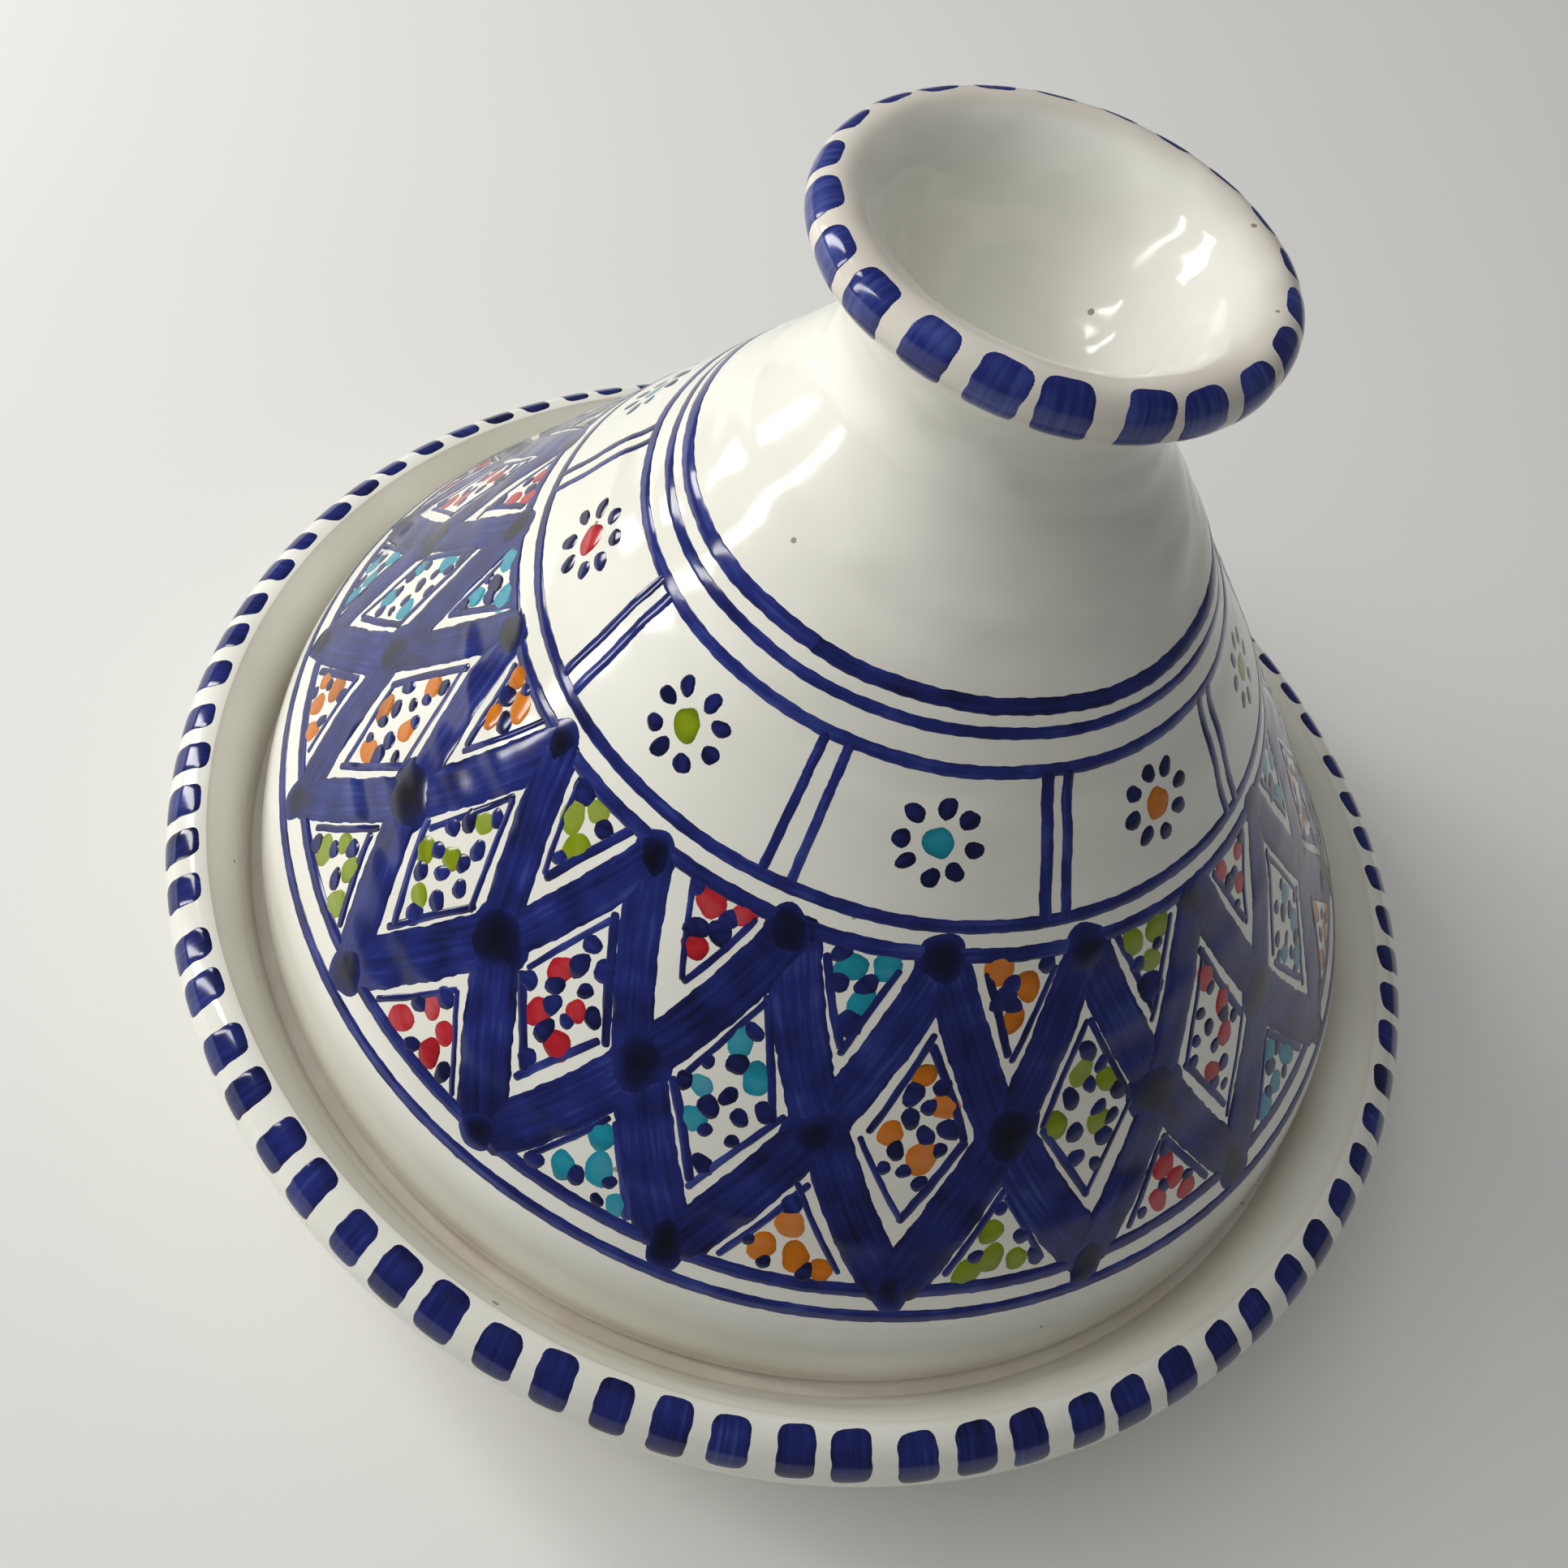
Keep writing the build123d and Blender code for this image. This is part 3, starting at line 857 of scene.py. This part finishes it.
class TAGINE_OT_lattice(Operator):
    """Paint the thick diagonal strokes of the lattice and the dark knots where they meet"""

    bl_idname = "tagine.lattice"
    bl_label = "Lattice"

    def execute(self, context):
        sizes, colours = context.scene.brush_sizes, context.scene.glaze_colours
        cone = section_of("lid_cone")
        rng = np.random.default_rng(13)
        net = Lattice(sizes.diamonds)
        share = np.linspace(0, 1, 7)
        low, mid, high = net.s_low, net.s_mid, net.s_high
        rows = []
        for hand in (1, -1):
            for first, start, stop in ((0, low, mid), (hand, mid, high)):
                a = net.centre + first * net.half
                rows.append((a, a + hand * net.half, start, stop))
        theta, s = [], []
        for a, b, start, stop in rows:
            n = len(a)
            a = a + np.radians(rng.uniform(-0.5, 0.5, n))
            b = b + np.radians(rng.uniform(-0.5, 0.5, n))
            over = np.array([-0.05, 1.05])
            ends_s = start + (stop - start) * over
            sag = rng.uniform(-0.6, 0.6, (n, 1)) * MM * np.sin(math.pi * share)
            reach = over[0] + (over[1] - over[0]) * share
            theta.append(a[:, None] + (b - a)[:, None] * reach + sag / LATTICE_RADIUS)
            s.append(ends_s[0] + (ends_s[1] - ends_s[0]) * share + rng.uniform(-0.4, 0.4, (n, 1)) * MM)
        theta, s = np.concatenate(theta), np.concatenate(s)
        n = len(theta)
        width = sizes.lattice_width * rng.uniform(0.9, 1.1, n)
        width = width * np.where(np.arange(n) % (2 * len(net.centre)) < len(net.centre), 1.06, 0.94)
        ob = brushed("lattice_strokes", cone, theta, s, width, lift=0.1 * MM, seed=131, cap=0.45, blunt=2.4,
                     steps=28, across=9, columns=4, ragged=0.05, load=0.6, spread=0.1, pool=0.18, start=0.12)
        finish_piece(ob, "lid", "lid_glaze", blue())

        knots = []
        for angle, spot, wide, tall in (
            (net.centre, low - 0.4 * MM, 9.6, 10.4),
            (net.centre + net.half, mid, 14.6, 14.6),
            (net.centre, high - 1.6 * MM, 10.4, 10.8),
        ):
            n = len(angle)
            knots.append((
                angle + np.radians(rng.uniform(-0.5, 0.5, n)),
                spot + rng.uniform(-1, 1, n) * MM,
                wide * rng.uniform(0.8, 1.12, n) * MM,
                tall * rng.uniform(0.85, 1.15, n) * MM,
            ))
        angle, spot, wide, tall = (np.concatenate(part) for part in zip(*knots))
        knot_finish = cobalt_brushwork(
            "layered_cobalt", colours.blue, colours.blue_thick, colours.black, streaks=0.12
        )
        ob = blobs("lattice_knots", cone, angle, spot, wide, tall, rng.uniform(-0.6, 0.6, len(angle)),
                   lift=0.13 * MM, seed=132, segments=28, rings=(0.3, 0.55, 0.75, 0.9, 1.0), uneven=0.1,
                   load=1.0, pool=-1.0, fade=0.9)
        finish_piece(ob, "lid", "lid_glaze", knot_finish)
        return {"FINISHED"}


class Lattice:
    """Where the lattice's diamonds and triangles are: the angles of the diamonds' middles, half a diamond's
    angle, and the places along the section of the lattice's low, middle and high corners."""

    FIRST = math.radians(-103)

    def __init__(self, diamonds):
        cone = section_of("lid_cone")
        self.half = TURN / diamonds / 2
        rng = np.random.default_rng(17)
        self.centre = self.FIRST + np.arange(diamonds) * 2 * self.half
        self.centre = self.centre + np.radians(rng.uniform(-0.4, 0.4, diamonds))
        self.s_low = cone.at_height(LOW_LINES[1][0] * MM)
        self.s_mid = cone.at_height(KNOT_HEIGHT * MM)
        self.s_high = cone.at_height(MIDDLE_LINES[0][0] * MM)


def shrink(corners, inset):
    """Moves each side of a convex outline, given counter-clockwise, inward by inset, and returns the new
    corners: where each pair of moved sides meets."""
    side = np.roll(corners, -1, 0) - corners
    side = side / np.linalg.norm(side, axis=1)[:, None]
    inward = np.stack([-side[:, 1], side[:, 0]], 1)
    start = corners + inward * inset[:, None]
    out = []
    for i in range(len(corners)):
        a, d, b, e = start[i - 1], side[i - 1], start[i], side[i]
        gap = b - a
        out.append(a + d * (gap[0] * e[1] - gap[1] * e[0]) / (d[0] * e[1] - d[1] * e[0]))
    return np.array(out)


def cells(net, cone, inset, base_inset):
    """The diamonds and triangles between the lattice's strokes, as (kind, number, angle, s, corners): the
    place of each cell's middle and its shrunk corners about that middle, in metres across and up. The high
    triangles leave less white inside the lattice."""
    out = []
    near = inset - 0.9 * MM
    r_mid, r_low, r_high = (cone.radius(s) for s in (net.s_mid, net.s_low, net.s_high))
    down, up = net.s_mid - net.s_low, net.s_high - net.s_mid
    diamond = np.array([[0, -down], [r_mid * net.half, 0], [0, up], [-r_mid * net.half, 0]])
    low = np.array([[-r_low * net.half, -down], [r_low * net.half, -down], [0, 0]])
    high = np.array([[0, 0], [r_high * net.half, up], [-r_high * net.half, up]])
    for i, angle in enumerate(net.centre):
        out.append(("diamond", i, angle, net.s_mid, shrink(diamond, np.full(4, inset))))
        out.append(("low", i, angle + net.half, net.s_mid, shrink(low, np.array([base_inset, inset, inset]))))
        out.append(("high", i, angle + net.half, net.s_mid, shrink(high, np.array([near, base_inset, near]))))
    return out


class TAGINE_OT_outlines(Operator):
    """Paint the thin lines inside the lattice's diamonds and triangles"""

    bl_idname = "tagine.outlines"
    bl_label = "Outlines"

    def execute(self, context):
        sizes = context.scene.brush_sizes
        cone = section_of("lid_cone")
        net = Lattice(sizes.diamonds)
        rng = np.random.default_rng(29)
        inset = sizes.lattice_width / 2 + sizes.margin + sizes.outline_width / 2
        share = np.linspace(0, 1, 6)
        theta, s = [], []
        for kind, _, angle, middle, corners in cells(net, cone, inset, 1.6 * MM):
            sides = {"diamond": (0, 1, 2, 3), "low": (1, 2), "high": (0, 2)}[kind]
            for i in sides:
                a, b = corners[i], corners[(i + 1) % len(corners)]
                a = a + rng.normal(0, 0.4, 2) * MM - (b - a) * rng.uniform(-0.04, 0.10)
                b = b + rng.normal(0, 0.4, 2) * MM + (b - a) * rng.uniform(-0.06, 0.08)
                if rng.random() < 0.5:
                    a, b = b, a
                bow = rng.uniform(-0.5, 0.5) * MM * np.sin(math.pi * share)
                x = a[0] + (b[0] - a[0]) * share + bow
                y = a[1] + (b[1] - a[1]) * share
                theta.append(angle + x / cone.radius(middle + y))
                s.append(middle + y)
        theta, s = np.array(theta), np.array(s)
        width = sizes.outline_width * rng.uniform(0.75, 1.25, len(theta))
        ob = brushed("inner_outlines", cone, theta, s, width, lift=0.07 * MM, seed=291, cap=0.5, blunt=2.0,
                     steps=9, across=5, columns=8, ragged=0.16, load=0.55, spread=0.15, pool=0.15, start=0.2)
        finish_piece(ob, "lid", "lid_glaze", blue())
        return {"FINISHED"}


def scatter(rng, corners, count, gap, edge, taken=(), taken_gap=0.0):
    """Picks count places inside a convex outline, edge inside its sides, at least gap from each other and
    taken_gap from the places taken. The gaps are eased when there is no room."""
    inner = shrink(corners, np.full(len(corners), edge))
    low, high = inner.min(0), inner.max(0)
    side = np.roll(inner, -1, 0) - inner
    picked = []
    tries = 0
    while len(picked) < count and tries < 4000:
        tries += 1
        spot = rng.uniform(low, high)
        away = spot - inner
        if (side[:, 0] * away[:, 1] - side[:, 1] * away[:, 0] < 0).any():
            continue
        room = [np.hypot(*(spot - other)) - gap * (1 - tries / 5000) for other in picked]
        room += [np.hypot(*(spot - other)) - taken_gap * (1 - tries / 5000) for other in taken]
        if room and min(room) < 0:
            continue
        picked.append(spot)
    return picked


PIGMENTS = ("red", "turquoise", "orange", "green")


class TAGINE_OT_dots(Operator):
    """Dab the coloured and the dark dots into the lattice's cells"""

    bl_idname = "tagine.dots"
    bl_label = "Dots"

    def execute(self, context):
        sizes = context.scene.brush_sizes
        cone = section_of("lid_cone")
        net = Lattice(sizes.diamonds)
        rng = np.random.default_rng(31)
        inset = sizes.lattice_width / 2 + sizes.margin + sizes.outline_width
        dabs = {key: [] for key in (*PIGMENTS, "dark")}
        bold = []
        # Coloured dots and dark dots in each kind of cell, and how far inside it they stay, in millimetres
        amounts = {"diamond": (4, 11, 1.0), "low": (4, 4, 1.1), "high": (4, 3, 0.7)}
        for kind, number, angle, middle, corners in cells(net, cone, inset, 1.4 * MM):
            turn = number - (len(net.centre) if number >= len(net.centre) // 2 else 0)
            tint = PIGMENTS[(turn + (1 if kind == "low" else 0)) % 4]
            colour_count, dark_count, edge = amounts[kind]
            big = scatter(rng, corners, colour_count, 6.2 * MM, edge * MM)
            if kind == "high":
                drop = big.pop()
                bold.append(len(dabs["dark"]))
                dabs["dark"].append((angle + drop[0] / cone.radius(middle + drop[1]), middle + drop[1]))
            small = scatter(rng, corners, dark_count, 3.8 * MM, 0.2 * MM, big, 2.6 * MM)
            for key, spots in ((tint, big), ("dark", small)):
                for x, y in spots:
                    dabs[key].append((angle + x / cone.radius(middle + y), middle + y))
        dark = np.array(dabs["dark"])
        n = len(dark)
        wide = sizes.dark_dot * rng.uniform(0.75, 1.15, n)
        wide[bold] *= 1.45
        ob = blobs("dark_dots", cone, dark[:, 0], dark[:, 1], wide, wide * rng.uniform(0.85, 1.35, n),
                   rng.uniform(-0.9, 0.9, n), lift=0.12 * MM, seed=311, load=0.72, pool=0.2)
        finish_piece(ob, "lid", "lid_glaze", blue())
        for i, key in enumerate(PIGMENTS):
            spots = np.array(dabs[key])
            n = len(spots)
            wide = sizes.colour_dot * rng.uniform(0.8, 1.1, n)
            ob = blobs(f"{key}_dots", cone, spots[:, 0], spots[:, 1], wide, wide * rng.uniform(0.95, 1.3, n),
                       rng.uniform(-0.8, 0.8, n), lift=0.09 * MM, seed=312 + i, segments=18, load=0.35,
                       spread=0.2, pool=0.3)
            finish_piece(ob, "lid", "lid_glaze", drops(key))
        return {"FINISHED"}


# The flowers' colours, from the panel right of the front line between two panels
FLOWERS = ("turquoise", "orange", "green", "red", "turquoise", "orange", "turquoise", "red", "green")


def divider_angles(panels):
    """The middles of the double lines between panels: even, and then off by what the painter's eye allows."""
    rng = np.random.default_rng(41)
    step = TURN / panels
    return math.radians(-89) + np.arange(panels) * step + np.radians(rng.uniform(-1.3, 1.3, panels))


class TAGINE_OT_panels(Operator):
    """Paint the double lines between panels and a flower in each panel"""

    bl_idname = "tagine.panels"
    bl_label = "Panels and flowers"

    def execute(self, context):
        sizes = context.scene.brush_sizes
        cone = section_of("lid_cone")
        rng = np.random.default_rng(43)
        middle = divider_angles(sizes.panels)
        n = len(middle)
        share = np.linspace(0, 1, 6)
        start = cone.at_height(UPPER_LINES[0][0] * MM)
        stop = cone.at_height(MIDDLE_LINES[1][0] * MM)
        theta, s = [], []
        for side in (-1, 1):
            off = np.radians(2.0 + rng.uniform(-0.3, 0.3, n)) * side
            lean = np.radians(rng.uniform(-0.7, 0.7, n))
            over = rng.uniform(-0.4, 1.2, n) * MM
            theta.append((middle + off)[:, None] + lean[:, None] * (share - 0.5))
            s.append(start + (stop - over - start)[:, None] * share)
        theta, s = np.concatenate(theta), np.concatenate(s)
        width = sizes.divider_width * rng.uniform(0.8, 1.15, 2 * n)
        ob = brushed("panel_dividers", cone, theta, s, width, lift=0.07 * MM, seed=431, cap=0.5, steps=14,
                     across=5, columns=3, ragged=0.12, load=0.45, spread=0.12, pool=0.2, start=0.25)
        finish_piece(ob, "lid", "lid_glaze", blue())

        flower = middle + TURN / sizes.panels / 2 + np.radians(rng.uniform(-1.2, 0.4, n))
        spot = cone.at_height(FLOWER_HEIGHT * MM) + rng.uniform(-0.5, 0.5, n) * MM
        petals = 8
        turn = (np.arange(petals) * TURN / petals + rng.uniform(0, 0.8, (n, 1))
                + rng.uniform(-0.1, 0.1, (n, petals)))
        out = rng.uniform(6.1, 6.7, (n, petals)) * MM
        x, y = out * np.cos(turn), out * np.sin(turn)
        s = spot[:, None] + y
        theta = flower[:, None] + x / cone.radius(s)
        count = n * petals
        ob = blobs("flower_petals", cone, theta.ravel(), s.ravel(), rng.uniform(3.9, 4.7, count) * MM,
                   rng.uniform(3.2, 3.9, count) * MM, turn.ravel(), lift=0.1 * MM, seed=432, load=0.85)
        finish_piece(ob, "lid", "lid_glaze", blue())
        for key in PIGMENTS:
            mine = np.flatnonzero([FLOWERS[i % len(FLOWERS)] == key for i in range(n)])
            count = len(mine)
            if count == 0:
                continue
            ob = blobs(f"flower_middle_{key}", cone, flower[mine], spot[mine],
                       rng.uniform(5.6, 6.3, count) * MM, rng.uniform(6.4, 7.4, count) * MM,
                       rng.uniform(-0.3, 0.3, count), lift=0.08 * MM, seed=433, segments=24,
                       rings=(0.4, 0.7, 0.9, 1.0), load=0.4, spread=0.1, pool=0.45)
            finish_piece(ob, "lid", "lid_glaze", drops(key))
        return {"FINISHED"}


# ---------------------------------------------------------------- stage

FLOOR_REACH = 6.0
SKY_WHITE = paint("#eef1f6")
SKY_STRENGTH = 0.12
LAMP_WHITE = paint("#fdfcf8")
LAMPS_AIM_AT = (0, 0, 0.1)

# Each lamp's name, place, width and height, and power
LAMPS = (
    ("window_wide_pane", (-1.15, 0.10, 0.60), (0.2, 0.9), 7.5),
    ("window_narrow_pane", (-1.08, -0.42, 0.60), (0.1, 0.9), 4.0),
    ("overhead", (-0.9, -0.7, 1.5), (1.6, 1.6), 12.0),
    ("ceiling", (0.0, 0.0, 2.2), (3.0, 3.0), 6.0),
    ("back_wall", (0.15, 1.35, 0.60), (1.6, 0.5), 2.0),
)

# The camera's place, and its turns in degrees from a level look along +Y
CAMERA_PLACE = (0.0159, -0.2334, 0.3595)
CAMERA_TURNS = (("Z", 25.965), ("Y", 6.201), ("X", 47.780))
FOCAL_LENGTH = 39.31
CAMERA_SHIFT = (-0.0032, -0.1133)


class TAGINE_OT_stage(Operator):
    """Set the plain floor, the soft window light and the camera"""

    bl_idname = "tagine.stage"
    bl_label = "Stage"

    def execute(self, context):
        scene = context.scene
        me = bpy.data.meshes.new("floor")
        corners = [(x * FLOOR_REACH, y * FLOOR_REACH, 0) for x, y in ((-1, -1), (1, -1), (1, 1), (-1, 1))]
        me.from_pydata(corners, [], [(0, 1, 2, 3)])
        floor = bpy.data.objects.new("floor", me)
        floor.data.materials.append(floor_paper("studio_paper"))
        scene.collection.objects.link(floor)

        world = bpy.data.worlds.new("studio")
        scene.world = world
        world.use_nodes = True
        sky = world.node_tree.nodes["Background"]
        sky.inputs["Color"].default_value = (*SKY_WHITE, 1)
        sky.inputs["Strength"].default_value = SKY_STRENGTH

        for name, spot, size, power in LAMPS:
            lamp = bpy.data.lights.new(name, "AREA")
            lamp.shape = "RECTANGLE"
            lamp.size, lamp.size_y = size
            lamp.energy = power
            lamp.color = LAMP_WHITE
            ob = bpy.data.objects.new(name, lamp)
            ob.location = spot
            aim = Vector(LAMPS_AIM_AT) - Vector(spot)
            ob.rotation_euler = aim.to_track_quat("-Z", "Y").to_euler()
            ob.visible_glossy = name.startswith("window")
            scene.collection.objects.link(ob)

        lens = bpy.data.cameras.new("camera")
        lens.sensor_width = 36
        lens.lens = FOCAL_LENGTH
        lens.shift_x, lens.shift_y = CAMERA_SHIFT
        lens.clip_start = 0.01
        camera = bpy.data.objects.new("camera", lens)
        look = Matrix.Identity(3)
        for axis, angle in CAMERA_TURNS:
            look = look @ Matrix.Rotation(math.radians(angle), 3, axis)
        look = look @ Matrix(((1, 0, 0), (0, 0, -1), (0, 1, 0)))
        axes = Matrix((look[0], -look[1], -look[2])).transposed()
        camera.matrix_world = Matrix.Translation(CAMERA_PLACE) @ axes.to_4x4()
        scene.collection.objects.link(camera)
        scene.camera = camera
        scene.view_settings.view_transform = "Standard"
        return {"FINISHED"}


# ---------------------------------------------------------------- the add-on

OPERATORS = (
    TAGINE_OT_dish,
    TAGINE_OT_lid,
    TAGINE_OT_lip_strokes,
    TAGINE_OT_bands,
    TAGINE_OT_lattice,
    TAGINE_OT_outlines,
    TAGINE_OT_dots,
    TAGINE_OT_panels,
    TAGINE_OT_stage,
)


class TAGINE_PT_sidebar(Panel):
    """Lists the pot's pieces, sizes and colours"""

    bl_label = "Tagine"
    bl_idname = "TAGINE_PT_sidebar"
    bl_space_type = "VIEW_3D"
    bl_region_type = "UI"
    bl_category = "Tagine"

    def draw(self, context):
        for group in (context.scene.brush_sizes, context.scene.glaze_colours):
            column = self.layout.column()
            for key in group.__annotations__:
                column.prop(group, key)
        for operator in OPERATORS:
            self.layout.operator(operator.bl_idname)


CLASSES = (BrushSizes, GlazeColours, *OPERATORS, TAGINE_PT_sidebar)


def register():
    for cls in CLASSES:
        bpy.utils.register_class(cls)
    bpy.types.Scene.brush_sizes = PointerProperty(type=BrushSizes)
    bpy.types.Scene.glaze_colours = PointerProperty(type=GlazeColours)


def unregister():
    del bpy.types.Scene.glaze_colours
    del bpy.types.Scene.brush_sizes
    for cls in reversed(CLASSES):
        bpy.utils.unregister_class(cls)


def main():
    register()
    for operator in OPERATORS:
        group, name = operator.bl_idname.split(".")
        getattr(getattr(bpy.ops, group), name)()


if __name__ == "__main__":
    main()
